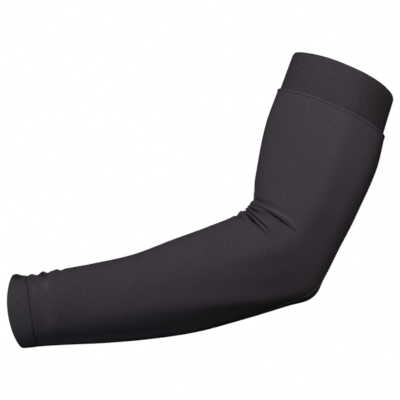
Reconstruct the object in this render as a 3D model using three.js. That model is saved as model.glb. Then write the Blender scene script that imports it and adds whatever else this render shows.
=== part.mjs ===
// Arm warmer: a stretch cloth sleeve that keeps the shape of a bent arm, with a knitted elastic band
// round the upper arm and a doubled hem at the wrist. Millimetres, +Z up. The arm lies along the XZ
// plane: the forearm runs out to -X, the upper arm rises to +Z, and the near side faces -Y.
// The origin is the middle of the elbow.

import * as THREE from 'three';
import { LoftGeometry } from 'three/addons/geometries/LoftGeometry.js';

const { degToRad, smoothstep } = THREE.MathUtils;

// Driving dimensions
const CLOTH = 1.4; // wall of the stretch cloth
const KNIT = 1.8; // wall of the knitted band
const HEM_TURN = 1.2; // turned-in layer of the hem
const GAP = 0.3; // clearance between pieces that are sewn together
const BAND_TUCK = 8; // length of the band that lies inside the sleeve
const HEM_LAP = 2.5; // length of the hem's turned-in layer that lies inside the sleeve
const EDGE_ROLL = 0.5; // rise of the rolled edge of the sleeve over the band
const STITCH_INSET = 3.4; // distance from that edge to its row of stitches
const STITCH_DIP = 0.5; // depth to which a row of stitches draws the cloth in
const WRIST_ROUNDING = 0.8; // rounding of the folded wrist edge
const AROUND = 40; // sides of every hoop
const FRONT_CROWDING = 0.35; // share by which the sides crowd together at the crook
const SIDE_BLEND = 10; // distance either side of the arm's middle where near and far folds meet
const FLANK_MIDDLE = 0.85; // where the flanks are flattened, as a share of the way to the elbow side
const FLANK_SPREAD = 0.2; // how far that reaches either way

// Hoops of the worn sleeve, from the wrist to the top edge. x and z place a hoop's middle, width is its
// size from the crook side to the elbow side, depth its size from side to side, and turn is the way the
// arm runs through it, in degrees above +X. bow moves its two sides along the arm, and lean is the share
// by which its depth is greater towards the crook, or towards the elbow where it is below 0. flank
// flattens its two sides near the elbow side, or fills them out where it is below 0.
const HOOPS = [
  { at: 'wrist edge', x: -247.3, z: -50, width: 67.5, depth: 50, turn: 7.5, bow: -4.7, lean: 0.18, flank: 3.5 },
  { at: 'hem line', x: -233.5, z: -49.5, width: 66, depth: 50, turn: 9, bow: 1, lean: 0.18, flank: 4 },
  { at: 'above wrist', x: -208.5, z: -46.5, width: 69, depth: 52, turn: 7, bow: 0, lean: 0.19, flank: 4.4 },
  { at: 'lower forearm', x: -170, z: -42.2, width: 74.2, depth: 58, turn: 8.5, bow: 0, lean: 0.21, flank: 4.9 },
  { at: 'mid forearm', x: -132, z: -36.4, width: 79.6, depth: 66, turn: 12.5, bow: 0, lean: 0.22, flank: 5 },
  { at: 'forearm swell', x: -93, z: -26.5, width: 88, depth: 74, turn: 15.5, bow: 0, lean: 0.22, flank: 4.9 },
  { at: 'below crook', x: -55.5, z: -14.8, width: 91.6, depth: 79, turn: 20.5, bow: 0, lean: 0.19, flank: 1.7 },
  { at: 'crook, forearm side', x: -22.5, z: -3.5, width: 96.5, depth: 80, turn: 30.5, bow: 0, lean: 0.26, flank: -2 },
  { at: 'crook', x: -8, z: 2.5, width: 102.5, depth: 80, turn: 36, bow: 0, lean: 0.31, flank: -2.9 },
  { at: 'elbow point', x: -3, z: 7.5, width: 102.5, depth: 80, turn: 38.5, bow: 0, lean: 0.31, flank: -3.1 },
  { at: 'crook, upper side', x: 1.5, z: 14.5, width: 97.5, depth: 80, turn: 42, bow: 0, lean: 0.23, flank: -3.6 },
  { at: 'above crook', x: 8.5, z: 31, width: 93.5, depth: 81, turn: 54.5, bow: 0, lean: 0.12, flank: -4.1 },
  { at: 'lower biceps', x: 17, z: 54, width: 98.5, depth: 84, turn: 67, bow: 0, lean: -0.1, flank: -4.1 },
  { at: 'biceps', x: 32.2, z: 102, width: 109.5, depth: 89, turn: 68, bow: 2, lean: -0.21, flank: -2.7 },
  { at: 'band seam', x: 41.3, z: 132, width: 106.5, depth: 90, turn: 66.5, bow: 5, lean: -0.17, flank: 0 },
  { at: 'top edge', x: 53, z: 167, width: 104.5, depth: 88, turn: 66, bow: 4.3, lean: -0.2, flank: 1.4 },
];

// Creases of the worn cloth, seen from the side. A crease starts at the crook or at the top of the wrist
// and dies out at its end. arch bends it sideways, depth and width are those of its groove, and roll is
// the share of the depth by which the cloth swells beside it, on the side that arch bends towards.
const NEAR = -1;
const FAR = 1;
const CREASES = [
  { side: NEAR, start: [-32, 50.5], end: [11, 22], arch: 4.5, depth: 2.8, width: 3.0, roll: 0.3 },
  { side: NEAR, start: [-35.5, 43], end: [-10, 15.5], arch: 1.6, depth: 1.8, width: 2.8, roll: 0.5 },
  { side: NEAR, start: [-38, 41.5], end: [-18.5, 19], arch: -1, depth: 2.2, width: 2.8, roll: 0.3 },
  { side: FAR, start: [-32, 50.5], end: [6, 29], arch: 3, depth: 2.8, width: 3.0, roll: 0.3 },
  { side: FAR, start: [-36.5, 42], end: [-12, 11], arch: 2, depth: 2.2, width: 3.0, roll: 0.4 },
  { side: NEAR, start: [-230, -13], end: [-227.5, -40], arch: 0, depth: 1.3, width: 2.8, roll: 0.4 },
  { side: NEAR, start: [-220.5, -11], end: [-217, -36], arch: 0, depth: 1.3, width: 3.0, roll: 0.4 },
  { side: NEAR, start: [-209, -9], end: [-205, -32], arch: 0, depth: 1.0, width: 3.0, roll: 0.3 },
  { side: FAR, start: [-230, -13], end: [-228.5, -38], arch: 0, depth: 1.3, width: 2.8, roll: 0.4 },
  { side: FAR, start: [-220.5, -11], end: [-219, -44], arch: 0, depth: 1.3, width: 3.0, roll: 0.4 },
  { side: FAR, start: [-209, -9], end: [-207, -30], arch: 0, depth: 1.0, width: 3.0, roll: 0.3 },
];

// Steps between the rings of the sleeve, up to each place along the arm: closest at the crook.
const RING_STEPS = [
  { upTo: 60, step: 4.5 },
  { upTo: 214, step: 13 },
  { upTo: 288, step: 3.4 },
  { upTo: 372, step: 12 },
];

// Distance along the arm of every hoop, from the wrist edge.
const hoopMiddles = HOOPS.map(({ x, z }) => new THREE.Vector2(x, z));
const hoopPlaces = hoopMiddles.reduce((places, middle, i) => {
  const step = i ? middle.distanceTo(hoopMiddles[i - 1]) : 0;
  return [...places, step + (places.at(-1) ?? 0)];
}, []);
const placeOf = (name) => hoopPlaces[HOOPS.findIndex(({ at }) => at === name)];
const HEM_LINE = placeOf('hem line');
const BAND_SEAM = placeOf('band seam');
const TOP_EDGE = placeOf('top edge');

const hoopSizes = HOOPS.map(({ at, ...sizes }) => Object.values(sizes));
const hoopBetween = new THREE.CubicInterpolant(hoopPlaces, hoopSizes.flat(), hoopSizes[0].length);

// A point of the worn skin: a hoop's altered ellipse, from the crook (angle 0) by the near side to the elbow.
function skinPoint(place, angle) {
  const [x, z, width, depth, turn, bow, lean, flank] = hoopBetween.evaluate(place);
  const runX = Math.cos(degToRad(turn));
  const runZ = Math.sin(degToRad(turn));
  const across = Math.cos(angle);
  const reach = (width / 2) * across;
  const flatness = flank * Math.exp(-(((across + FLANK_MIDDLE) / FLANK_SPREAD) ** 2));
  const side = Math.sin(angle) * ((depth / 2) * (1 + lean * across) - flatness);
  const shift = bow * Math.sin(angle) ** 2;
  return new THREE.Vector3(
    x - reach * runZ + shift * runX,
    -side,
    z + reach * runX + shift * runZ,
  );
}

// The skin's outward direction, from small steps round and along the arm.
function skinNormal(place, angle) {
  const turnStep = 0.01;
  const placeStep = 0.5;
  const round = skinPoint(place, angle + turnStep).sub(skinPoint(place, angle - turnStep));
  const along = skinPoint(place + placeStep, angle).sub(skinPoint(place - placeStep, angle));
  return round.cross(along).normalize();
}

// Height of the creased cloth over the skin: each crease is a groove with a softer swell beside it.
function creaseHeight(skin) {
  const farShare = smoothstep(skin.y, -SIDE_BLEND, SIDE_BLEND);
  return CREASES.reduce((height, { side, start, end, arch, depth, width, roll }) => {
    const length = Math.hypot(end[0] - start[0], end[1] - start[1]);
    const way = [(end[0] - start[0]) / length, (end[1] - start[1]) / length];
    const offset = [skin.x - start[0], skin.z - start[1]];
    const along = (offset[0] * way[0] + offset[1] * way[1]) / length;
    const across = offset[1] * way[0] - offset[0] * way[1] - 4 * arch * along * (1 - along);
    const groove = Math.exp(-((across / width) ** 2));
    const swell = roll * Math.exp(-((across / width - 2) ** 2));
    const fade = smoothstep(along, -0.4, -0.1) * (1 - smoothstep(along, 0.3, 1));
    const share = side === FAR ? farShare : 1 - farShare;
    return height - depth * share * fade * (groove - swell);
  }, 0);
}

// Angles of a hoop's corners, crowded together at the crook where the creases are.
const angles = Array.from({ length: AROUND }, (_, i) => {
  const angle = (i / AROUND) * 2 * Math.PI;
  return angle - FRONT_CROWDING * Math.sin(angle);
});

// Carries a closed profile round the arm. Each profile point has its place along the arm and its height
// over the skin, and the profile runs up the outside and back down the inside.
function carryRound(profile) {
  const rings = profile.map(({ place, height }) =>
    angles.map((angle) => {
      const skin = skinPoint(place, angle);
      return skin.addScaledVector(skinNormal(place, angle), height + creaseHeight(skin));
    }),
  );
  return new LoftGeometry([...rings, rings[0]]);
}

const atHeight = (places, height) => places.map((place) => ({ place, height }));

// Places shared by pieces that lie one inside the other, so that their facets keep the same gap.
const hemLapPlaces = [HEM_LINE + GAP / 2, HEM_LINE + HEM_LAP / 2, HEM_LINE + HEM_LAP];
const bandTuckPlaces = [BAND_SEAM - BAND_TUCK, BAND_SEAM - BAND_TUCK / 2, BAND_SEAM - GAP];

// Stretch cloth from the hem line to the band, with a row of stitches behind its rolled top edge.
function makeSleeve() {
  const middlePlaces = [];
  let place = hemLapPlaces.at(-1);
  for (const { upTo, step } of RING_STEPS) {
    for (place += step; place < upTo; place += step) middlePlaces.push(place);
  }
  const stitches = BAND_SEAM - STITCH_INSET;
  const flatPlaces = [
    ...hemLapPlaces.slice(1),
    ...middlePlaces,
    bandTuckPlaces[0],
    stitches - STITCH_INSET / 2,
  ];
  const outside = [
    { place: hemLapPlaces[0], height: -STITCH_DIP },
    ...atHeight(flatPlaces, 0),
    { place: stitches, height: -STITCH_DIP },
    { place: stitches + STITCH_INSET / 2, height: EDGE_ROLL },
    { place: BAND_SEAM, height: -CLOTH / 2 },
  ];
  const inside = atHeight([...hemLapPlaces, ...middlePlaces, ...bandTuckPlaces].reverse(), -CLOTH);
  return carryRound([...outside, ...inside]);
}

// Doubled knit with a round top edge, whose lower end is sewn inside the top of the sleeve.
function makeBicepsBand() {
  const outer = -CLOTH - GAP;
  const inner = outer - KNIT;
  const middle = (outer + inner) / 2;
  const edge = KNIT / 4;
  const shown = TOP_EDGE - BAND_SEAM;
  const shownPlaces = [0.25, 0.5, 0.75].map((share) => BAND_SEAM + share * shown);
  const wall = [...bandTuckPlaces, ...shownPlaces, TOP_EDGE - KNIT / 2];
  const profile = [
    ...atHeight(wall, outer),
    { place: TOP_EDGE - edge / 2, height: middle + edge },
    { place: TOP_EDGE, height: middle },
    { place: TOP_EDGE - edge / 2, height: middle - edge },
    ...atHeight(wall.toReversed(), inner),
  ];
  return carryRound(profile);
}

// Cloth turned in at the wrist edge. Its inner layer runs on past the stitched line inside the sleeve.
function makeWristHem() {
  const stitchedEdge = HEM_LINE - GAP / 2;
  const lapOuter = -CLOTH - GAP;
  const inner = lapOuter - HEM_TURN;
  const edge = WRIST_ROUNDING;
  const wall = [edge, stitchedEdge / 2, stitchedEdge - 2 * edge];
  const profile = [
    { place: 0, height: inner / 2 },
    { place: edge / 3, height: -edge / 2 },
    ...atHeight(wall, 0),
    { place: stitchedEdge, height: -STITCH_DIP },
    { place: stitchedEdge, height: lapOuter },
    ...atHeight(hemLapPlaces.slice(1), lapOuter),
    ...atHeight(hemLapPlaces.slice(1).reverse(), inner),
    ...atHeight(wall.toReversed(), inner),
    { place: edge / 3, height: inner + edge / 2 },
  ];
  return carryRound(profile);
}

const stretchCloth = new THREE.MeshStandardMaterial({ color: 0x3a363c, roughness: 0.8, metalness: 0 });
const ribKnit = new THREE.MeshStandardMaterial({ color: 0x343136, roughness: 0.92, metalness: 0 });

const pieces = [
  { name: 'sleeve', geometry: makeSleeve(), material: stretchCloth },
  { name: 'biceps_band', geometry: makeBicepsBand(), material: ribKnit },
  { name: 'wrist_hem', geometry: makeWristHem(), material: stretchCloth },
];

const armWarmer = new THREE.Group();
for (const { name, geometry, material } of pieces) {
  const mesh = new THREE.Mesh(geometry, material);
  mesh.name = name;
  armWarmer.add(mesh);
}

export default armWarmer;
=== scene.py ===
import bpy
import numpy as np
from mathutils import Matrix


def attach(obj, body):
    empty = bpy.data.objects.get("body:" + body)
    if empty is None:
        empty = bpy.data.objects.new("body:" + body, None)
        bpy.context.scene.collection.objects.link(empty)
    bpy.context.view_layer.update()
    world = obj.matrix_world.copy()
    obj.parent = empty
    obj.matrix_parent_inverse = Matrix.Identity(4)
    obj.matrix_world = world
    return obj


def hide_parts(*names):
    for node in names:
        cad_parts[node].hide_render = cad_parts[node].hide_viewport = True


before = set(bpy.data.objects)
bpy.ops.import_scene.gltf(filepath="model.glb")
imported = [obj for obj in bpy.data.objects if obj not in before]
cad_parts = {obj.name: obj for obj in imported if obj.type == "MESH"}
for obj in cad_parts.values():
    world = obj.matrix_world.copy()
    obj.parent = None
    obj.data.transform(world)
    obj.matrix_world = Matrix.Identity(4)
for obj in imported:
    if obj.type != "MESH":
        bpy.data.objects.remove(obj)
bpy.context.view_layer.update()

# Camera
# It stands a metre off the near side, level with the crook of the elbow, and looks straight at the sleeve
# through a long lens.
CAMERA_PLACE = (-0.0791, -1.0, 0.0524)
FILM_WIDTH = 36
LENS = 97.8
camera_data = bpy.data.cameras.new("camera")
camera_data.sensor_width = FILM_WIDTH
camera_data.lens = LENS
camera = bpy.data.objects.new("camera", camera_data)
camera.location = CAMERA_PLACE
camera.rotation_euler = (np.pi / 2, 0, 0)
bpy.context.scene.collection.objects.link(camera)
bpy.context.scene.camera = camera

# Sleeve
# A tube of black stretch jersey, cut to the taper of an arm and sewn up along the back. It keeps the shape
# of a bent arm: smooth where it is stretched, creased at the crook and puckered at the top of the wrist.
# Its top edge is rolled over the band and its lower edge meets the hem.

MM = 0.001

# Hoops of the worn sleeve, wrist edge to top edge, in millimetres and degrees: x and z of the middle, width
# from crook to elbow, depth from side to side, turn of the arm above +X, bow of the two sides, lean, the
# share by which the depth is greater towards the crook, and flank, by which the sides are flatter towards
# the elbow. The flattening has its middle and its spread at these shares of the half width.
HOOPS = np.array([
    (-247.3, -50, 67.5, 50, 7.5, -4.7, 0.18, 3.5),
    (-233.5, -49.5, 66, 50, 9, 1, 0.18, 4),
    (-208.5, -46.5, 69, 52, 7, 0, 0.19, 4.4),
    (-170, -42.2, 74.2, 58, 8.5, 0, 0.21, 4.9),
    (-132, -36.4, 79.6, 66, 12.5, 0, 0.22, 5),
    (-93, -26.5, 88, 74, 15.5, 0, 0.22, 4.9),
    (-55.5, -14.8, 91.6, 79, 20.5, 0, 0.19, 1.7),
    (-22.5, -3.5, 96.5, 80, 30.5, 0, 0.26, -2),
    (-8, 2.5, 102.5, 80, 36, 0, 0.31, -2.9),
    (-3, 7.5, 102.5, 80, 38.5, 0, 0.31, -3.1),
    (1.5, 14.5, 97.5, 80, 42, 0, 0.23, -3.6),
    (8.5, 31, 93.5, 81, 54.5, 0, 0.12, -4.1),
    (17, 54, 98.5, 84, 67, 0, -0.1, -4.1),
    (32.2, 102, 109.5, 89, 68, 2, -0.21, -2.7),
    (41.3, 132, 106.5, 90, 66.5, 5, -0.17, 0),
    (53, 167, 104.5, 88, 65.1, 4.3, -0.2, 1.4),
])
FLANK_MIDDLE = 0.85
FLANK_SPREAD = 0.2

# A place along the arm is its distance from the wrist edge, by the middles of the hoops.
hoop_places = np.concatenate(([0], np.cumsum(np.hypot(*np.diff(HOOPS[:, :2], axis=0).T))))
HEM_LINE = hoop_places[1]
BAND_SEAM = hoop_places[-2]
TOP_EDGE = hoop_places[-1]

# Line of the back seam: its angle round the arm, in degrees from the crook, at places along the arm.
SEAM_LINE = [
    (0, 172), (110, 171), (190, 166), (215, 161), (230, 156), (244, 151.5), (251, 153), (258, 160),
    (268, 169), (290, 173), (386, 173), (423, 172)]

# Sag of the hem line and of the band's two edges towards the wrist, by the angle from the crook, and how
# far it reaches below and above them. Where it is negative the line rises.
SAGS = {
    "hem line": {"at": HEM_LINE, "reach": (9, 14), "line": [
        (0, -0.6), (30, -1.2), (50, -1.7), (75, -1.7), (100, -1.3), (125, -0.9), (150, -0.7), (180, -0.5)]},
    "band seam": {"at": BAND_SEAM, "reach": (25, 18), "line": [
        (0, -1.7), (18, -1.6), (36, -1.1), (52, -0.5), (66, 0.1), (77, 0.8), (91, 1.5), (118, 1.4),
        (136, 1.2), (180, 0)]},
    "top edge": {"at": TOP_EDGE, "reach": (20, 20), "line": [
        (0, 0), (62, 0), (80, 0.4), (98, 0.8), (112, 0.5), (130, 0), (180, 0)]},
}

# Creases at the crook. Each is a line round the arm: at some angles from the crook, its place along the
# arm, the depth of its groove and the height of its ridge. A groove has its width below the line and above
# it. A ridge has its distance above the line, and its width below and above. Some folds also carry painted
# light: a painted highlight on the ridge, by its height squared, and painted shade in the groove, by its
# depth.
CREASES = {
    "hollow over the first roll": {"groove": (1.6, 3.0), "line": [
        (-75, 282, 0, 0), (-45, 277, 0.8, 0), (0, 264, 0.7, 0), (16, 266.2, 1.8, 0), (32, 271, 2.0, 0),
        (45, 275.4, 1.8, 0), (54, 277.7, 1.4, 0), (64.5, 279, 0.9, 0), (73, 280, 0.5, 0), (86, 281, 0, 0)]},
    "first roll": {"ridge": (0.6, 2.0, 1.6), "painted_highlight": 0.4, "line": [
        (-92, 269, 0, 0), (-66, 275, 0, 0.8), (-30, 268, 0, 0.7), (0, 260, 0, 1.0), (20, 263.8, 0, 0.7),
        (35.5, 267.7, 0, 0.6), (47.3, 270.8, 0, 0.75), (56.3, 274, 0, 1.0), (66.3, 275.5, 0, 1.3),
        (75.7, 276.2, 0, 1.0), (85, 275, 0, 0.8), (90.5, 273, 0, 0.7), (95, 270.8, 0, 0.4),
        (98.5, 268, 0, 0.2), (104, 264, 0, 0)]},
    "split in the first roll": {"groove": (0.6, 0.5), "line": [
        (28, 266.3, 0, 0), (35, 269, 0.4, 0), (42, 272, 0.7, 0), (48, 274.2, 0.6, 0), (56, 276.4, 0, 0)]},
    "long crease under it": {"groove": (1.1, 0.75), "painted_shade": 0.15, "line": [
        (-88, 271, 0, 0), (-62, 270, 1.7, 0), (-35, 265, 1.2, 0), (0, 255, 0.8, 0), (13, 257.4, 1.0, 0),
        (24, 260.9, 1.1, 0), (35, 264.7, 1.2, 0), (46.7, 267.4, 1.9, 0), (53.5, 268.7, 2.7, 0),
        (60, 269.8, 3.1, 0), (66.5, 270.6, 3.1, 0), (75.5, 271.3, 2.4, 0), (82, 271.7, 1.4, 0),
        (89, 271.6, 0.5, 0), (95, 271.4, 0, 0)]},
    "pocket under the long crease": {"groove": (1.15, 1.0), "painted_shade": 0.16, "line": [
        (-48, 259, 0, 0), (-26, 254, 3.0, 0), (0, 250.5, 0.8, 0), (8, 251.2, 1.1, 0), (14, 252.2, 2.2, 0),
        (20, 253.5, 4.2, 0), (25, 254.8, 4.8, 0), (28, 255.6, 4.2, 0), (31, 256.4, 2.8, 0),
        (35, 257.4, 1.2, 0), (42, 259.5, 0.7, 0), (48, 261.4, 0.3, 0), (54, 263, 0, 0)]},
    "soft end of that pocket": {"groove": (2.2, 1.8), "painted_shade": 0.08, "line": [
        (30, 255.8, 0, 0), (37, 257.8, 0.9, 0), (42, 260, 1.1, 0), (47, 261.8, 0.9, 0), (53, 262.8, 0.6, 0),
        (64, 263, 0, 0)]},
    "middle crease": {"groove": (0.8, 0.65), "painted_shade": 0.2, "line": [
        (-70, 250, 0, 0), (-40, 251, 1.5, 0), (-12, 247, 2.0, 0), (0, 246, 2.0, 0), (12, 246.6, 1.8, 0),
        (19, 247.7, 1.7, 0), (33, 249.3, 2.1, 0), (44.5, 250.6, 2.1, 0), (53, 251.9, 1.9, 0),
        (58.5, 252.5, 1.3, 0), (66, 252.5, 0.7, 0), (73, 252.4, 0.3, 0), (80, 252.2, 0, 0)]},
    "roll between the two lower creases": {"ridge": (0, 1.2, 1.0), "painted_highlight": 0.5, "line": [
        (-60, 249, 0, 0), (-38, 248, 0, 0.4), (0, 244.6, 0, 0), (20, 245.8, 0, 0.3), (35.3, 247.1, 0, 0.6),
        (45.3, 248.4, 0, 0.7), (57, 249.4, 0, 0.5), (64, 249.9, 0, 0.3), (74, 250.2, 0, 0)]},
    "deep crease": {"groove": (1.1, 0.9), "painted_shade": 0.17, "line": [
        (-62, 247, 0, 0), (-36, 245.4, 2.6, 0), (-12, 243.6, 1.6, 0), (0, 243.2, 1.4, 0),
        (12, 243.4, 1.4, 0), (20, 243.7, 1.8, 0), (25, 244, 2.6, 0), (29, 244.3, 4.0, 0),
        (33, 244.6, 5.0, 0), (37, 245, 5.0, 0), (41, 245.4, 3.6, 0), (45, 245.8, 2.2, 0),
        (51, 246.5, 1.7, 0), (58, 247.2, 1.1, 0), (63, 247.7, 0.7, 0), (68, 248, 0.3, 0),
        (74, 248.2, 0, 0)]},
    "bulge of the forearm before the creases": {"ridge": (0, 3.2, 2.6), "line": [
        (-40, 241, 0, 0), (-12, 240.8, 0, 1.0), (8, 241.2, 0, 1.0), (20, 241.8, 0, 0.5), (32, 242, 0, 0)]},
    "nick on the forearm side": {"groove": (1.6, 1.6), "ridge": (-3.5, 2.5, 2.5), "painted_shade": 0.1, "line": [
        (-34, 234, 0, 0), (0, 232.5, 0.9, 0.3), (18, 234.6, 1.7, 0.4), (25, 236, 1.5, 0.3),
        (31, 236.8, 0.7, 0), (40, 237, 0, 0)]},
}

# Puckers at the top of the wrist and the form of the hem, written in the same way, with the same painted
# highlights and shade. Each pucker's ridge lies on the side of the hand.
PUCKERS = {
    "edge of the hem": {"groove": (1, 1), "ridge": (0, 3.4, 3.0), "line": [
        (-50, 4.5, 0, 0), (-4, 4.5, 0, 1.2), (8, 4.5, 0, 1.1), (18, 4.5, 0, 0.9), (24, 4.5, 0.4, 0.1),
        (34, 4.5, 0, 0)]},
    "round of the hem": {"ridge": (0, 11, 12), "line": [
        (90, 5, 0, 0), (115, 5, 0, 1.1), (140, 5, 0, 2.4), (160, 5, 0, 1.4), (178, 5, 0, 0)]},
    # Painted shade in the hem line's groove.
    "hem line": {"groove": (0.9, 0.9), "painted_shade": 1.3, "line": [
        (-180, HEM_LINE, 0.25, 0), (180, HEM_LINE, 0.25, 0)]},
    "first": {"groove": (2.4, 2.4), "ridge": (-4.6, 2.4, 2.4), "line": [
        (-60, 22.5, 0, 0), (0, 22.3, 1.1, 0.7), (24, 22.5, 1.0, 0.6), (40, 21.8, 0.3, 0.4),
        (80, 20.5, 0, 0)]},
    # A painted highlight where the first pucker ends.
    "end of the first": {"ridge": (0, 2.2, 2.2), "painted_highlight": 0.55, "line": [
        (37, 20, 0, 0), (51, 20, 0, 1.0), (64, 20, 0, 0)]},
    "second": {"groove": (2.4, 2.2), "ridge": (-3.7, 2.0, 2.6), "line": [
        (-60, 32, 0, 0), (-8, 32, 1.2, 1.5), (8, 32, 1.2, 1.3), (18, 32.1, 1, 1), (24, 32.2, 0.8, 0.1),
        (36, 32.5, 0.4, 0.3), (60, 33, 0, 0)]},
    # A painted highlight where the second pucker ends.
    "end of the second": {"ridge": (0, 4.4, 4.2), "painted_highlight": 0.34, "line": [
        (24, 31.5, 0, 0), (36, 32, 0, 0.6), (46, 32.6, 0, 1.0), (66, 33, 0, 0)]},
    "third": {"groove": (2.6, 2.6), "ridge": (-3.6, 2.4, 2.8), "line": [
        (-55, 44, 0, 0), (0, 44.2, 1.1, 0.9), (20, 44.3, 0.8, 0.7), (55, 45, 0, 0)]},
    # A painted band of light round the arm, over a very low ridge.
    "painted light ring behind the hem": {"ridge": (0, 9, 9), "painted_highlight": 3, "line": [
        (28, 33.5, 0, 0), (44, 33.5, 0, 0.18), (75, 33, 0, 0.2), (112, 33, 0, 0.22), (125, 33, 0, 0)]},
    "soft ring behind the puckers": {"ridge": (0, 5, 5), "line": [
        (35, 37, 0, 0), (75, 37, 0, 0.4), (105, 36, 0, 1.1), (125, 35, 0, 0.9), (150, 34, 0, 0)]},
}

# Two forms of the upper arm, in the same way: painted shade on its back, over a very shallow groove, and a
# painted highlight on the rolled edge over the band, over a very low ridge.
UPPER_ARM_FOLDS = {
    "painted shade on the back": {"groove": (40, 18), "painted_shade": 4, "line": [
        (-180, 368, 0.12, 0), (-157, 368, 0.12, 0), (-148, 368, 0.06, 0), (-137, 368, 0, 0),
        (-120, 368, 0, 0), (120, 368, 0, 0), (137, 368, 0, 0), (148, 368, 0.06, 0), (157, 368, 0.12, 0),
        (180, 368, 0.12, 0)]},
    "rolled edge": {"ridge": (0, 0.8, 0.8), "painted_highlight": 12, "line": [
        (-180, BAND_SEAM - 1.4, 0, 0.1), (180, BAND_SEAM - 1.4, 0, 0.1)]},
}
FOLDS = [*CREASES.values(), *PUCKERS.values(), *UPPER_ARM_FOLDS.values()]
# The painted shade of the folds never goes deeper than this.
DEEPEST_PAINTED_SHADE = -0.75

# Soft edges along both sides of the arm, where its sides turn to the back: at some places along the arm,
# their angle from the crook and their height.
EDGES = {
    "upper arm and elbow": {"width": 10, "line": [
        (200, 77, 0), (226, 77, 2.0), (244, 80, 2.0), (261, 88, 1.7), (278, 95, 1.6), (304, 100, 2.2),
        (354, 101, 2.7), (378, 101, 2.5), (400, 101, 1.9), (423, 101, 1.5)]},
    "forearm": {"width": 10, "line": [
        (40, 102, 0), (78, 102, 1.1), (122, 104, 1.6), (166, 111, 2.0), (191, 120, 2.1), (214, 130, 2.1),
        (230, 137, 1.2), (250, 142, 0)]},
}

# Tucks: two puckers whose cloth falls over to the near side. Each has its place along the arm, its width,
# and at some angles from the crook how far the cloth moves to the near side and how far up.
TUCKS = {
    "at the edge of the hem": {"place": 5.4, "width": 3.8, "lean": [
        (-62, 0, 0), (-40, 0.7, 0), (-15, 1.5, 0), (0, 2.0, 0.1), (8, 2.5, 0.3), (14, 2.8, 0.5),
        (18, 2.8, 0.6), (22, 2.2, 0.5), (26, 1.2, 0.2), (31, 0.4, 0), (38, 0, 0)]},
    "at the second pucker": {"place": 28.6, "width": 3, "lean": [
        (-62, 0, 0), (-40, 0.7, 0), (-15, 1.5, 0), (0, 2.0, 0), (8, 2.5, 0.2), (14, 2.8, 0.4),
        (18, 2.8, 0.5), (22, 2.1, 0.4), (26, 1.1, 0.2), (31, 0.3, 0), (38, 0, 0)]},
}
# Painted shade on a tuck's cloth, for each millimetre that it leans.
TUCK_PAINTED_SHADE = 0.3
# Thickness of the cloth, and the gap to a layer that is sewn to it.
CLOTH = 1.4
SEWN_GAP = 0.3


def smooth_between(knots, rows, at):
    """Values read off between knots, one array for each column of rows. They follow cubic curves: the
    slope at a knot is the mean of the straight lines' slopes either side, or the only one at an end."""
    steps = np.diff(knots)
    chords = np.diff(rows, axis=0) / steps[:, None]
    slopes = np.vstack((chords[:1], (chords[1:] + chords[:-1]) / 2, chords[-1:]))
    at = np.clip(at, knots[0], knots[-1])
    i = np.clip(np.searchsorted(knots, at, side="right") - 1, 0, len(steps) - 1)
    step = steps[i][..., None]
    p = (at - knots[i])[..., None] / step
    q = 1 - p
    before = (1 + 2 * p) * q * q * rows[i] + p * q * q * step * slopes[i]
    after = p * p * (1 + 2 * q) * rows[i + 1] - p * p * q * step * slopes[i + 1]
    return np.moveaxis(before + after, -1, 0)


def read_off(line, at):
    """The other columns of a line, read off smoothly where its first column has these values."""
    rows = np.array(line, float)
    return smooth_between(rows[:, 0], rows[:, 1:], at)


def bell(distance, below, above, narrowest=0):
    """A smooth hump of height 1, exp(-(distance / width) squared), with its own width on either side and
    neither of them under the narrowest."""
    width = np.maximum(np.where(distance < 0, below, above), narrowest)
    return np.exp(-(distance / width) ** 2)


def degrees_from_crook(angle):
    """The angle in degrees from -180 to 180: nought at the crook and positive on the near side."""
    return np.degrees((angle + np.pi) % (2 * np.pi) - np.pi)


def skin(place, angle):
    """Points of the smooth worn shape: the ellipse of the hoop at that place, from the crook (angle 0) by
    the near side to the elbow. Its depth grows by lean times the angle's cosine and shrinks by flank times
    a bell of that cosine, and its two sides move along the arm by bow times the angle's sine squared. Near
    the hem line and the band's edges the places themselves sag."""
    for sag in SAGS.values():
        (drop,) = read_off(sag["line"], np.abs(degrees_from_crook(angle)))
        place = place - drop * bell(place - sag["at"], *sag["reach"])
    x, z, width, depth, turn, bow, lean, flank = smooth_between(hoop_places, HOOPS, place)
    run = np.radians(turn)
    across = np.cos(angle)
    reach = width / 2 * across
    flatness = flank * bell(across + FLANK_MIDDLE, FLANK_SPREAD, FLANK_SPREAD)
    shift = bow * np.sin(angle) ** 2
    return np.stack((
        x - reach * np.sin(run) + shift * np.cos(run),
        -np.sin(angle) * (depth / 2 * (1 + lean * across) - flatness),
        z + reach * np.cos(run) + shift * np.sin(run),
    ), axis=-1)


def unit(vectors):
    """The same directions with length 1."""
    return vectors / np.linalg.norm(vectors, axis=-1, keepdims=True)


def skin_steps(place, angle):
    """How the smooth shape moves for one radian round the arm and for one millimetre of place along it."""
    round_step, place_step = 0.01, 0.25
    inner = np.clip(place, place_step, TOP_EDGE - place_step)
    around = (skin(place, angle + round_step) - skin(place, angle - round_step)) / (2 * round_step)
    along = (skin(inner + place_step, angle) - skin(inner - place_step, angle)) / (2 * place_step)
    return around, along


def out_of_cloth(place, angle):
    """The direction that points straight out of the smooth worn shape."""
    return unit(np.cross(*skin_steps(place, angle)))


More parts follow.
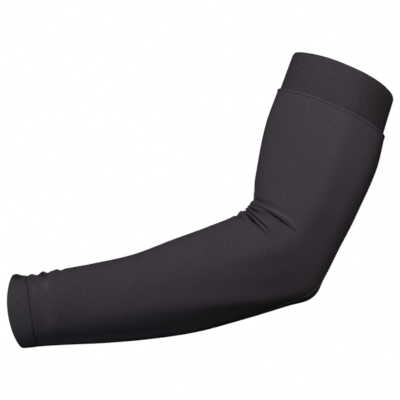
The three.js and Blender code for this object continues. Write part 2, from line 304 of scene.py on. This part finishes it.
def relief(place, angle, blur):
    """Height of the folds over the smooth shape, and the light and shade painted on them: how much lighter
    or darker their colour is made. The distance from a fold's line along the cloth goes into a bell for
    its ridge and one for its groove, no narrower than blur. The painted highlight goes with the ridge
    squared and the painted shade with the groove. The bells of the soft edges lie across the arm."""
    around, along = skin_steps(place, angle)
    turn = degrees_from_crook(angle)
    height = np.zeros_like(turn)
    painted_shading = np.zeros_like(turn)
    for edge in EDGES.values():
        line_turn, line_height = read_off(edge["line"], place)
        distance = np.radians(np.abs(turn) - line_turn) * np.linalg.norm(around, axis=-1)
        height += line_height * bell(distance, edge["width"], edge["width"])
    stretch = np.linalg.norm(along, axis=-1)
    for fold in FOLDS:
        line_place, groove, ridge = read_off(fold["line"], turn)
        distance = (place - line_place) * stretch
        if "ridge" in fold:
            ridge_at, *ridge_widths = fold["ridge"]
            swell = np.maximum(ridge, 0) * bell(distance - ridge_at, *ridge_widths, blur)
            height += swell
            painted_shading += fold.get("painted_highlight", 0) * swell ** 2
        if "groove" in fold:
            hollow = np.maximum(groove, 0) * bell(distance, *fold["groove"], blur)
            height -= hollow
            painted_shading -= fold.get("painted_shade", 0) * hollow
    return height, np.maximum(painted_shading, DEEPEST_PAINTED_SHADE)


def tucked(place, angle, height):
    """Shift of the cloth in the tucks: the lean at that angle, times a bell along the arm. It fades out
    through the thickness of the cloth, so the inner side stays in place."""
    turn = degrees_from_crook(angle)
    depth_share = np.clip(1 + height / CLOTH, 0, 1)
    shift = np.zeros(turn.shape + (3,))
    for tuck in TUCKS.values():
        to_near_side, up = read_off(tuck["lean"], turn)
        share = bell(place - tuck["place"], tuck["width"], tuck["width"]) * depth_share
        shift += np.stack((np.zeros_like(share), -to_near_side * share, up * share), axis=-1)
    return shift


def worn(place, angle, height, blur=0):
    """Points of the worn cloth: the smooth shape, moved outwards by height and by the folds' relief, and
    over to the near side in the tucks."""
    place, angle, height, blur = np.broadcast_arrays(place, angle, height, blur)
    folds, _ = relief(place, angle, blur)
    moved = out_of_cloth(place, angle) * (height + folds)[..., None]
    return skin(place, angle) + moved + tucked(place, angle, height)


# The cloth's lengthwise lines run from the back seam right round to it. They crowd together by this share
# at this angle on from the seam, near the crook, where the creases are.
LINES_ROUND = 216
CROWDING = 0.45
CROWDED_AT = np.radians(228)


def angles_from_seam(place):
    """Angles of the lengthwise lines at a place: even turns from the back seam, drawn together by a
    sine."""
    (seam,) = read_off(SEAM_LINE, place)
    even = np.linspace(0, 2 * np.pi, LINES_ROUND + 1)
    lag = np.pi - CROWDED_AT
    return np.radians(seam)[..., None] + even + CROWDING * (np.sin(even + lag) - np.sin(lag))


def add_piece(name, mesh):
    """An object of that mesh in the scene, at the origin."""
    piece = bpy.data.objects.new(name, mesh)
    bpy.context.scene.collection.objects.link(piece)
    return piece


# No painted shade by the angle from the crook: nought all round.
NO_PAINTED_SHADE = [(0, 0), (180, 0)]


def cloth_wall(name, places, heights, blurs, painted_shade_by_angle=NO_PAINTED_SHADE):
    """A closed wall of cloth: a profile of places, heights and blurs of the folds, which runs up the
    outside and back down the inside, carried round the arm. Its map holds metres of cloth from the front
    line and along the arm. An attribute holds the light and shade painted into its colour: the painted
    highlights and shade of the folds, painted shade on the tucks and painted shade by the angle from the
    crook."""
    angle = angles_from_seam(places)
    place = np.broadcast_to(places[:, None], angle.shape)
    points = worn(place, angle, heights[:, None], blurs[:, None]) * MM
    smooth = skin(place, angle)
    lengths = np.linalg.norm(np.diff(smooth, axis=1), axis=-1)
    girth = np.pad(np.cumsum(lengths, axis=1), ((0, 0), (1, 0)))
    cloth = np.stack((girth - girth[:, -1:] / 2, place), axis=-1) * MM
    _, painted_shading = relief(place, angle, blurs[:, None])
    painted_shading = painted_shading - TUCK_PAINTED_SHADE * np.linalg.norm(tucked(place, angle, heights[:, None]), axis=-1)
    painted_shading = painted_shading + read_off(painted_shade_by_angle, np.abs(degrees_from_crook(angle)))[0]

    rows, columns = len(places), LINES_ROUND
    row, column = np.meshgrid(np.arange(rows), np.arange(columns), indexing="ij")
    next_row, next_column = (row + 1) % rows, (column + 1) % columns
    corners = np.stack((
        row * columns + column,
        row * columns + next_column,
        next_row * columns + next_column,
        next_row * columns + column,
    ), axis=-1)
    closed = np.concatenate((cloth, cloth[:1]))
    maps = np.stack((
        closed[row, column],
        closed[row, column + 1],
        closed[row + 1, column + 1],
        closed[row + 1, column],
    ), axis=2)

    mesh = bpy.data.meshes.new(name)
    mesh.from_pydata(points[:, :-1].reshape(-1, 3), [], corners.reshape(-1, 4), shade_flat=False)
    mesh.uv_layers.new(name="cloth").data.foreach_set("uv", maps.astype(np.float32).ravel())
    painted_shading_layer = mesh.attributes.new("painted_shading", "FLOAT", "POINT")
    painted_shading_layer.data.foreach_set("value", painted_shading[:, :-1].astype(np.float32).ravel())
    return add_piece(name, mesh)


def stepped(*stretches):
    """Places along the arm: each stretch runs from its start to its end in equal steps near the given
    one."""
    return np.concatenate([
        np.linspace(start, end, max(2, round((end - start) / step)), endpoint=False)
        for start, end, step in stretches
    ])


# Height of the cloth near its lower edge, by distance from the hem line: drawn in by the hem's stitches.
HEM_GROOVE = [(0, -0.6), (0.4, -0.54), (1.0, -0.34), (1.7, -0.13), (2.6, 0.0), (4, 0)]
# Height near its top edge, by distance from the band seam: a rolled edge, and a row of stitches behind it.
TOP_ROLL = [
    (0, -0.75), (0.1, -0.35), (0.5, 0.05), (1.0, 0.36), (1.5, 0.52), (1.9, 0.46), (2.4, 0.16), (2.8, -0.05),
    (3.2, -0.12), (3.9, -0.04), (5, 0.02), (7, 0)]
# The inner side follows only the broad part of a fold.
INNER_BLUR = 1.7
# Colour between the loops of the jersey and on them.
JERSEY_SHADE = (0.0244, 0.0199, 0.0244, 1)
JERSEY_LIGHT = (0.0612, 0.0501, 0.0612, 1)

# Stretches of the wall along the arm, each with its start, its end and its step. The steps are finest in
# the creases at the crook and at the two sewn edges.
lower_edge = HEM_LINE + SEWN_GAP / 2
outer_places = np.concatenate((
    stepped(
        (lower_edge, HEM_LINE + 3, 0.3), (HEM_LINE + 3, 56, 1.2), (56, 205, 4), (205, 230, 1.6),
        (230, 242, 0.7), (242, 274, 0.27), (274, 288, 0.7), (288, 305, 1.6), (305, BAND_SEAM - 8, 4),
        (BAND_SEAM - 8, BAND_SEAM - 4, 0.8), (BAND_SEAM - 4, BAND_SEAM, 0.2)),
    [BAND_SEAM],
))
inner_places = np.concatenate((
    stepped(
        (lower_edge, 56, 2.6), (56, 205, 6), (205, 230, 3), (230, 288, 1.2), (288, 305, 3),
        (305, BAND_SEAM - 8, 6), (BAND_SEAM - 8, BAND_SEAM, 2)),
    [BAND_SEAM - SEWN_GAP],
))[::-1]
(hem_draw,) = read_off(HEM_GROOVE, outer_places - HEM_LINE)
(top_roll,) = read_off(TOP_ROLL, BAND_SEAM - outer_places)
sleeve = cloth_wall(
    "sleeve_cloth",
    np.concatenate((outer_places, inner_places)),
    np.concatenate((hem_draw + top_roll, np.full(len(inner_places), -CLOTH))),
    np.concatenate((np.zeros(len(outer_places)), np.full(len(inner_places), INNER_BLUR))),
)


class Strand:
    """A socket of a material that works as a number in an expression: each operator adds a Math node."""

    def __init__(self, tree, socket=None):
        self.tree = tree
        self.socket = socket

    def add(self, kind, settings=None, sockets=None, outlet=0):
        """Adds a node of that kind: its settings first, then the value or link of each socket."""
        node = self.tree.nodes.new(kind)
        for name, value in (settings or {}).items():
            setattr(node, name, value)
        for name, value in (sockets or {}).items():
            if isinstance(value, Strand):
                self.tree.links.new(value.socket, node.inputs[name])
            else:
                node.inputs[name].default_value = value
        return Strand(self.tree, node.outputs[outlet] if node.outputs else None)

    def outlet(self, name):
        """Another output of the same node."""
        return Strand(self.tree, self.socket.node.outputs[name])

    def maths(self, operation, *values):
        """One Math node on the given values."""
        return self.add("ShaderNodeMath", {"operation": operation}, dict(enumerate(values)))

    def __add__(self, other):
        return self.maths("ADD", self, other)

    def __sub__(self, other):
        return self.maths("SUBTRACT", self, other)

    def __rsub__(self, other):
        return self.maths("SUBTRACT", other, self)

    def __mul__(self, other):
        return self.maths("MULTIPLY", self, other)

    def __truediv__(self, other):
        return self.maths("DIVIDE", self, other)

    def __abs__(self):
        return self.maths("ABSOLUTE", self)

    __radd__ = __add__
    __rmul__ = __mul__

    def sine(self):
        return self.maths("SINE", self)

    def cosine(self):
        return self.maths("COSINE", self)

    def part(self):
        """What is left of the number over a whole one."""
        return self.maths("FRACT", self)

    def at_least(self, least):
        return self.maths("MAXIMUM", self, least)

    def colour(self, shade, light):
        """A colour by this number: shade at nought, light at one, and on past them in the same way."""
        settings = {"data_type": "RGBA", "clamp_factor": False}
        return self.add("ShaderNodeMix", settings, {0: self, 6: shade, 7: light}, outlet=2)


def new_finish(name):
    """An empty material, and a first strand to add its nodes with."""
    material = bpy.data.materials.new(name)
    material.use_nodes = True
    material.node_tree.nodes.clear()
    return material, Strand(material.node_tree)


def cloth_shader(tree, colour, roughness, normal):
    """Matt dyed cloth: a rough diffuse surface with a very faint shine."""
    shader = tree.add("ShaderNodeBsdfPrincipled", {}, {
        "Base Color": colour,
        "Roughness": roughness,
        "Normal": normal,
        "Diffuse Roughness": 0.3,
        "Specular IOR Level": 0.15,
    })
    tree.add("ShaderNodeOutputMaterial", {}, {"Surface": shader})


def cloth_map(tree):
    """Metres of cloth round the arm and along it, from the wall's own map."""
    cloth = tree.add("ShaderNodeUVMap", {"uv_map": "cloth"})
    round_arm = tree.add("ShaderNodeSeparateXYZ", {}, {0: cloth})
    return round_arm, round_arm.outlet("Y")


def wall_painted_shading(tree):
    """Light and shade painted into the wall's colour, read from its attribute."""
    return tree.add("ShaderNodeAttribute", {"attribute_name": "painted_shading"}, outlet="Fac")


def mottle(tree, size, spot=None):
    """Uneven dye or wear: noise of that size in metres, from about -0.5 to 0.5, at a spot of the object or
    of a map."""
    spot = spot or tree.add("ShaderNodeTexCoord", outlet="Object")
    grain = {"Vector": spot, "Scale": 1 / size, "Detail": 2, "Roughness": 0.6}
    return tree.add("ShaderNodeTexNoise", {}, grain) - 0.5


def bumps(tree, height, distance, strength):
    """The normal of a surface that is raised by height times distance, in metres."""
    return tree.add("ShaderNodeBump", {}, {"Height": height, "Distance": distance, "Strength": strength})


def stretch_jersey(name, shade, light):
    """Fine plain knit. Along each column of loops two legs lean together in a V: the height is the sine
    across a leg, times a wave along the column that lags with the distance from its middle. The colour
    runs from shade between the loops to light on them, with a slanting hatch, uneven dye and fibre, and the
    light and shade painted on the wall."""
    wale, course, lag = 0.00085, 0.0007, 0.8
    hatch_pitch, hatch_slant = 0.0021, 0.8
    dye_size, fibre_size = 0.045, 0.0013
    darkest = -0.6
    material, tree = new_finish(name)
    round_arm, along_arm = cloth_map(tree)
    from_middle = abs((round_arm / wale).part() - 0.5) * 2
    leg = (from_middle * np.pi).sine()
    row = ((along_arm / course - from_middle * lag) * (2 * np.pi)).cosine() * 0.5 + 0.5
    loops = leg * (row * 0.6 + 0.4)
    hatch = ((round_arm * hatch_slant + along_arm) * (2 * np.pi / hatch_pitch)).sine()
    dye = mottle(tree, dye_size)
    fibre = mottle(tree, fibre_size)
    lightness = loops * 0.36 + 0.32 + hatch * 0.03 + dye * 0.22 + fibre * 1.1 + wall_painted_shading(tree)
    colour = lightness.at_least(darkest).colour(shade, light)
    roughness = 0.86 - loops * 0.12
    normal = bumps(tree, loops + fibre * 0.5 + hatch * 0.08, 0.00016, 0.8)
    cloth_shader(tree, colour, roughness, normal)
    return material


sleeve.data.materials.append(stretch_jersey("stretch_cloth", JERSEY_SHADE, JERSEY_LIGHT))
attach(sleeve, "root")
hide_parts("sleeve")

# Back seam
# The two long edges of the sleeve's cloth are joined edge to edge by a flat seam, which stands a little
# proud. Thread crosses it from side to side all the way from the wrist edge to the band.
SEAM_WIDTH = 1.9
SEAM_HEIGHT = 0.42
SEAM_SUNK = 0.12
SEAM_ROOT = -0.7
SEAM_START = 1.5
SEAM_END = BAND_SEAM - 1.2
FIRST_CROSSING = 3
LAST_CROSSING = BAND_SEAM - 2
CROSSING_PITCH = 1.9
CROSSING_SLANT = 0.8
CROSSING_HEIGHT = 0.02
# The seam and its thread are coloured lighter than the jersey: a painted highlight for the light the raised
# seam catches.
SEAM_SHADE = (0.040, 0.035, 0.041, 1)
SEAM_LIGHT = (0.085, 0.076, 0.087, 1)


def on_seam(place, side):
    """Angle of a point that lies a distance to one side of the back seam's line, along the cloth."""
    (line,) = read_off(SEAM_LINE, place)
    angle = np.radians(line)
    around, _ = skin_steps(place, angle)
    return angle + side / np.linalg.norm(around, axis=-1)


def plain_piece(name, points, faces):
    """A smooth mesh piece from points in millimetres and lists of corners."""
    mesh = bpy.data.meshes.new(name)
    mesh.from_pydata(points.reshape(-1, 3) * MM, [], faces, shade_flat=False)
    return add_piece(name, mesh)


def tube_faces(count, rings, sides):
    """Corners of count tubes, each of that many rings and sides, with both of its ends capped."""
    tube, ring, side = np.meshgrid(np.arange(count), np.arange(rings - 1), np.arange(sides), indexing="ij")
    base = tube * rings * sides
    near, far = base + ring * sides, base + (ring + 1) * sides
    turned = (side + 1) % sides
    walls = np.stack((near + side, near + turned, far + turned, far + side), axis=-1).reshape(-1, 4)
    starts = (np.arange(count) * rings * sides)[:, None]
    first_caps = starts + np.arange(sides)[::-1]
    last_caps = starts + (rings - 1) * sides + np.arange(sides)
    return walls.tolist() + first_caps.tolist() + last_caps.tolist()


def seam_strip(name, start, end):
    """A flat seam: a low arch, height times one minus the square of the share of the half width, carried
    along the seam's line, with its narrower foot sunk in the cloth."""
    step, points_across, foot = 1.6, 9, 0.8
    places = np.linspace(start, end, round((end - start) / step))
    share = np.linspace(-1, 1, points_across)
    arch = SEAM_HEIGHT * (1 - share ** 2) - SEAM_SUNK
    across = np.concatenate((share, [foot, -foot])) * SEAM_WIDTH / 2
    heights = np.concatenate((arch, [SEAM_ROOT, SEAM_ROOT]))
    place = np.broadcast_to(places[:, None], (len(places), len(across)))
    points = worn(place, on_seam(place, across), heights)
    return plain_piece(name, points, tube_faces(1, len(places), len(across)))


def stitches(name, starts, ends, out, thickness, rise):
    """A row of stitches: each is a thread from start to end, whose middle rises in a parabola and whose
    two ends go into the cloth and grow thinner."""
    rings, sides = 5, 6
    sunk, end_share = 0.35, 0.55
    share = np.linspace(0, 1, rings)
    turn = np.linspace(0, 2 * np.pi, sides, endpoint=False)
    line = starts[:, None] + (ends - starts)[:, None] * share[:, None]
    lift = rise * 4 * share * (1 - share) - thickness * sunk
    line = line + out[:, None] * lift[:, None]
    thread = unit(ends - starts)
    side = unit(np.cross(out, thread))
    swell = thickness / 2 * (end_share + (1 - end_share) * np.sin(np.pi * share))
    ring = np.cos(turn)[:, None] * side[:, None, None] + np.sin(turn)[:, None] * out[:, None, None]
    points = line[:, :, None] + ring * swell[:, None, None]
    return plain_piece(name, points, tube_faces(len(starts), rings, sides))


def spun_thread(name, shade, light):
    """Sewing thread: dyed fibre, lighter and darker in fine streaks, matt with a little shine."""
    material, tree = new_finish(name)
    streak = mottle(tree, 0.0009)
    colour = (streak + 0.5).colour(shade, light)
    cloth_shader(tree, colour, 0.7 - streak * 0.2, bumps(tree, streak, 0.0002, 0.6))
    return material


seam_strip_piece = seam_strip("back_seam", SEAM_START, SEAM_END)
crossings = np.arange(FIRST_CROSSING, LAST_CROSSING, CROSSING_PITCH)
far_ends = crossings + CROSSING_SLANT
seam_stitches = stitches(
    "back_seam_stitches",
    worn(crossings, on_seam(crossings, -SEAM_WIDTH / 2), CROSSING_HEIGHT),
    worn(far_ends, on_seam(far_ends, SEAM_WIDTH / 2), CROSSING_HEIGHT),
    out_of_cloth(crossings, on_seam(crossings, 0)),
    thickness=0.5,
    rise=0.55,
)
seam_thread = spun_thread("seam_thread", SEAM_SHADE, SEAM_LIGHT)
for piece in (seam_strip_piece, seam_stitches):
    piece.data.materials.append(seam_thread)
    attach(piece, "root")

# Biceps band
# A wide band of soft elastic knit, doubled so that its top edge is a round fold. Its lower end is sewn
# inside the top of the sleeve, behind the rolled edge.
KNIT = 1.8
BAND_TUCK = 8
BAND_FACE = -CLOTH - SEWN_GAP
KNIT_SHADE = (0.0171, 0.0143, 0.0173, 1)
KNIT_LIGHT = (0.0475, 0.0396, 0.0480, 1)
# Height of the band near its top edge, by distance from its fold: the fold draws the edge in.
TOP_CURL = [(0, -1.0), (0.6, -0.55), (1.6, -0.2), (3.2, -0.03), (5, 0)]
# Painted shade on the knit towards the back of the arm, by the angle from the crook.
BAND_PAINTED_SHADE = [(0, 0), (95, 0), (108, -0.1), (118, -0.2), (130, -0.28), (150, -0.3), (180, -0.3)]

# A half turn of the knit over its edge, without the two ends, where its face and its lining begin.
fold_turn = np.linspace(-np.pi / 2, np.pi / 2, 9)[1:-1]
fold_places = TOP_EDGE - KNIT / 2 * (1 - np.cos(fold_turn))
fold_heights = -KNIT / 2 - KNIT / 2 * np.sin(fold_turn)
band_foot = BAND_SEAM - BAND_TUCK
curl_start = TOP_EDGE - 6
fold_start = TOP_EDGE - KNIT / 2
face_places = stepped(
    (band_foot, BAND_SEAM - 1, 2.4), (BAND_SEAM - 1, curl_start, 1.5), (curl_start, fold_start, 0.6))
lining_places = stepped((band_foot, curl_start, 4), (curl_start, fold_start, 1.2))[::-1]
band_places = np.concatenate((face_places, fold_places, lining_places))
(top_curl,) = read_off(TOP_CURL, fold_start - band_places)
band_depths = np.concatenate((np.zeros(len(face_places)), fold_heights, np.full(len(lining_places), -KNIT)))
band = cloth_wall(
    "band_knit",
    band_places,
    BAND_FACE + top_curl + band_depths,
    np.zeros(len(band_places)),
    BAND_PAINTED_SHADE,
)


def elastic_knit(name, shade, light):
    """Soft elastic knit: fine ribs along the arm, a wave round it, crossed by a wave along it that makes
    small knobs, with dye that is uneven, fibre in streaks round the arm, and the light and shade painted on
    the wall."""
    rib, knob = 0.0012, 0.0009
    dye_size, fibre_size, streak = 0.03, 0.0012, 0.35
    darkest = -0.5
    material, tree = new_finish(name)
    round_arm, along_arm = cloth_map(tree)
    ribs = (round_arm * (2 * np.pi / rib)).cosine() * 0.5 + 0.5
    knobs = ribs * ((along_arm * (2 * np.pi / knob)).cosine() * 0.35 + 0.65)
    dye = mottle(tree, dye_size)
    streaks = tree.add("ShaderNodeCombineXYZ", {}, {"X": round_arm * streak, "Y": along_arm})
    fibre = mottle(tree, fibre_size, streaks)
    lightness = knobs * 0.5 + 0.28 + dye * 0.25 + fibre * 1.35 + wall_painted_shading(tree)
    colour = lightness.at_least(darkest).colour(shade, light)
    roughness = 0.94 - knobs * 0.08
    cloth_shader(tree, colour, roughness, bumps(tree, knobs + fibre * 0.5, 0.0002, 0.8))
    return material


band.data.materials.append(elastic_knit("elastic_knit", KNIT_SHADE, KNIT_LIGHT))
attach(band, "root")
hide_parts("biceps_band")

# Band stitches
# A row of short stitches, in thread of the cloth's own colour, holds the band behind the sleeve's rolled
# edge. It is sunk in a shallow groove.
STITCH_PITCH = 2.6
STITCH_LENGTH = 1.9
THREAD = 0.4
THREAD_SHADE = (0.022, 0.019, 0.023, 1)
THREAD_LIGHT = (0.050, 0.043, 0.051, 1)
BAND_STITCH_ROW = BAND_SEAM - 3.1


def stitched_round(name, place, height, rise):
    """A row of stitches round the arm: they begin a pitch apart along the cloth."""
    even = np.linspace(0, 2 * np.pi, 2001)
    lengths = np.linalg.norm(np.diff(skin(np.full(len(even), place), even), axis=0), axis=-1)
    girth = np.concatenate(([0], np.cumsum(lengths)))
    count = round(girth[-1] / STITCH_PITCH)
    start = np.arange(count) * girth[-1] / count
    first = np.interp(start, girth, even)
    last = np.interp(start + STITCH_LENGTH, girth, even)
    places = np.full(count, place)
    out = out_of_cloth(places, (first + last) / 2)
    return stitches(name, worn(places, first, height), worn(places, last, height), out, THREAD, rise)


band_stitches = stitched_round("band_stitches", BAND_STITCH_ROW, height=-0.14, rise=0.1)
cloth_thread = spun_thread("cloth_thread", THREAD_SHADE, THREAD_LIGHT)
band_stitches.data.materials.append(cloth_thread)
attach(band_stitches, "root")

# Wrist hem
# The sleeve's own jersey turned in at the wrist edge and doubled. Its inner layer runs on past the hem
# line inside the sleeve, where one row of stitches draws both layers in to a thin groove.
HEM_TURN = 1.2
HEM_LAP = 2.5
LAP_ROWS = 4
LAP_FACE = -CLOTH - SEWN_GAP
HEM_LINING = LAP_FACE - HEM_TURN
HEM_SHADE = (0.0246, 0.0206, 0.0250, 1)
HEM_LIGHT = (0.0621, 0.0521, 0.0634, 1)

hem_edge = HEM_LINE - SEWN_GAP / 2
half_wall = -HEM_LINING / 2
edge_places = half_wall * (1 - np.cos(fold_turn))
edge_heights = HEM_LINING / 2 + half_wall * np.sin(fold_turn)
hem_face_places = np.concatenate((
    stepped((half_wall, hem_edge - 3, 0.9), (hem_edge - 3, hem_edge, 0.3)),
    [hem_edge],
))
(hem_draw,) = read_off(HEM_GROOVE, HEM_LINE - hem_face_places)
lap_places = HEM_LINE + np.linspace(SEWN_GAP / 2, HEM_LAP, LAP_ROWS)
hem_lining_places = stepped((half_wall, hem_edge, 2))[::-1]
hem_places = np.concatenate((
    edge_places, hem_face_places, [hem_edge], lap_places, lap_places[::-1], hem_lining_places))
hem_heights = np.concatenate((
    edge_heights,
    hem_draw,
    np.full(1 + LAP_ROWS, LAP_FACE),
    np.full(LAP_ROWS + len(hem_lining_places), HEM_LINING),
))
hem = cloth_wall("hem_fold", hem_places, hem_heights, np.zeros(len(hem_places)))
hem.data.materials.append(stretch_jersey("hem_cloth", HEM_SHADE, HEM_LIGHT))
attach(hem, "root")
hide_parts("wrist_hem")

# Hem stitches
# One row of short stitches in the groove of the hem line holds the turned cloth to the sleeve. It is of the
# same thread as the band's.
hem_stitches = stitched_round("hem_stitches", HEM_LINE, height=-1.0, rise=0.2)
hem_stitches.data.materials.append(cloth_thread)
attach(hem_stitches, "root")

# Studio
# A plain pale floor below the sleeve and five soft lights: the key from high on the left, one close to the
# upper arm, one low on either side and one behind for the far side. The backdrop is white, and lends the
# cloth a little even light.
FLOOR_LEVEL = -320
FLOOR_RADIUS = 750
FLOOR_MIDDLE = -80
FLOOR_SHADE = (0.80, 0.80, 0.80, 1)
FLOOR_LIGHT = (0.84, 0.84, 0.84, 1)
rim = np.linspace(0, 2 * np.pi, 96, endpoint=False)
floor_points = np.stack((
    FLOOR_MIDDLE + np.cos(rim) * FLOOR_RADIUS,
    np.sin(rim) * FLOOR_RADIUS,
    np.full(len(rim), FLOOR_LEVEL),
), axis=-1)
floor = plain_piece("floor", floor_points, [list(range(len(rim)))])
floor_paint, tree = new_finish("floor_paint")
paint = tree.add("ShaderNodeBsdfPrincipled", {}, {
    "Base Color": (mottle(tree, 0.2) + 0.5).colour(FLOOR_SHADE, FLOOR_LIGHT),
    "Roughness": 0.8,
    "Specular IOR Level": 0.1,
})
tree.add("ShaderNodeOutputMaterial", {}, {"Surface": paint})
floor.data.materials.append(floor_paint)
floor.visible_diffuse = False
floor.visible_glossy = False


def soft_light(name, place, aim, power, size, colour=(1, 1, 1)):
    """A square soft light at a place, turned to its aim and unseen by the camera."""
    data = bpy.data.lights.new(name, "AREA")
    data.color = colour
    data.energy = power
    data.size = size
    light = bpy.data.objects.new(name, data)
    light.location = place
    x, y, z = np.array(place) - np.array(aim)
    light.rotation_euler = (np.arctan2(np.hypot(x, y), z), 0, np.arctan2(y, x) + np.pi / 2)
    light.visible_camera = False
    bpy.context.scene.collection.objects.link(light)


ELBOW = (-0.02, -0.03, 0.05)
UPPER_ARM = (0.03, -0.04, 0.11)
FAR_SIDE = (-0.08, 0, 0.05)
COOL = (0.92, 1, 1.05)
EVEN_LIGHT = 0.01
soft_light("key_light", (-0.263, -0.551, 0.532), ELBOW, power=1.85, size=0.35)
soft_light("near_light", (0.105, -0.4, 0.31), UPPER_ARM, power=1.92, size=0.35)
soft_light("left_light", (-0.799, -0.48, 0.05), ELBOW, power=3.75, size=0.4, colour=COOL)
soft_light("right_light", (0.759, -0.48, 0.05), ELBOW, power=1.1, size=0.4)
soft_light("far_light", (-0.08, 1.6, 0.05), FAR_SIDE, power=14, size=0.5)

world = bpy.data.worlds.new("studio")
world.use_nodes = True
world.node_tree.nodes.clear()
sky = Strand(world.node_tree)
seen = sky.add("ShaderNodeLightPath", outlet="Is Camera Ray")
lit = sky.add("ShaderNodeBackground", {}, {"Color": (1, 1, 1, 1), "Strength": EVEN_LIGHT})
white = sky.add("ShaderNodeBackground", {}, {"Color": (1, 1, 1, 1), "Strength": 1.0})
backdrop = sky.add("ShaderNodeMixShader", {}, {0: seen, 1: lit, 2: white})
sky.add("ShaderNodeOutputWorld", {}, {"Surface": backdrop})
bpy.context.scene.world = world
bpy.context.scene.view_settings.view_transform = "Standard"
